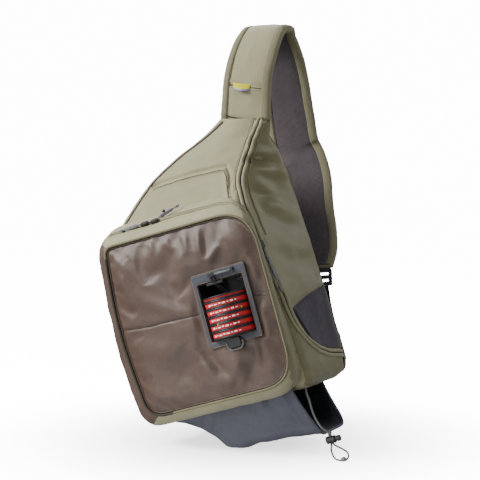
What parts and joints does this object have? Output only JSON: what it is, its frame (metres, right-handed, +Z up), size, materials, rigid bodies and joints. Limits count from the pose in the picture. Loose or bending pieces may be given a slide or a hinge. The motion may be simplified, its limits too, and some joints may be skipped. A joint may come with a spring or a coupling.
{
  "type": "fishing sling bag",
  "caption": "One-shoulder padded sling bag for fishing tackle: zipped body, square front pocket with a spool holder, sleeve in the base for a bottle, wide curved shoulder strap.",
  "frame": {"origin": "on the floor under the middle of the bag's box, the loose cord left out", "axes": "+X to the right as seen from the front, +Y from the front pocket to the back panel, +Z up"},
  "size_m": [0.3946, 0.3204, 0.613],
  "materials": {
    "sage_cloth": "matt woven nylon",
    "brown_cloth": "coated nylon with a soft sheen",
    "slate_cloth": "matt tough nylon",
    "charcoal_pile": "matt brushed pile",
    "spacer_mesh": "matt knitted spacer mesh",
    "taupe_binding": "matt grosgrain binding",
    "zip_black": "matt zip tape",
    "black_webbing": "matt woven webbing",
    "black_plastic": "satin moulded",
    "grey_plastic": "satin moulded",
    "grey_cord": "matt braided elastic",
    "black_cord": "matt braided elastic",
    "red_elastic": "matt elastic band",
    "lime_ribbon": "matt ribbon"
  },
  "bodies": {
    "bag": {"main_shell": "sage_cloth", "main_zip": "zip_black", "main_slider": "black_plastic", "main_pull": "grey_plastic", "fly_patch": "charcoal_pile", "base_boot": "slate_cloth", "mouth_binding": "slate_cloth", "back_panel": "spacer_mesh", "pocket_gusset": "sage_cloth", "pocket_zip": "zip_black", "pocket_left_slider": "black_plastic", "pocket_left_pull": "grey_plastic", "pocket_right_slider": "black_plastic", "pocket_right_pull": "grey_plastic", "pocket_face": "brown_cloth", "pocket_piping": "taupe_binding", "tippet_frame": "slate_cloth", "tippet_tray": "black_plastic", "tippet_strand_1": "black_cord", "tippet_strand_2": "black_cord", "tippet_knot": "black_plastic", "tippet_rod": "grey_cord", "tippet_eye": "black_plastic", "tippet_bar": "black_plastic", "tippet_toggle": "black_plastic", "tippet_loop": "grey_cord", "mouth_cord": "grey_cord", "mouth_tail": "grey_cord", "tail_anchor": "black_webbing", "spool_1": "black_plastic", "spool_2": "black_plastic", "spool_3": "black_plastic", "spool_4": "black_plastic", "spool_5": "black_plastic", "spool_6": "black_plastic", "band_1": "red_elastic", "band_2": "red_elastic", "band_3": "red_elastic", "band_4": "red_elastic", "band_5": "red_elastic", "band_6": "red_elastic", "cord_lock": "black_plastic", "strap_outer": "sage_cloth", "strap_mesh": "spacer_mesh", "strap_binding": "taupe_binding", "strap_tab": "lime_ribbon", "strap_buckle": "black_plastic", "tail_webbing": "black_webbing", "cord_loop": "grey_cord", "cord_end": "grey_plastic"},
    "button": {"cord_lock_button": "black_plastic"}
  },
  "joints": [
    {"name": "lock_press", "type": "slide", "parent": "bag", "child": "button", "axis": [-0.9563, 0, -0.2924], "range_m": [0, 0.003], "stiffness_N_per_m": 200, "springref_m": -0.001}
  ]
}
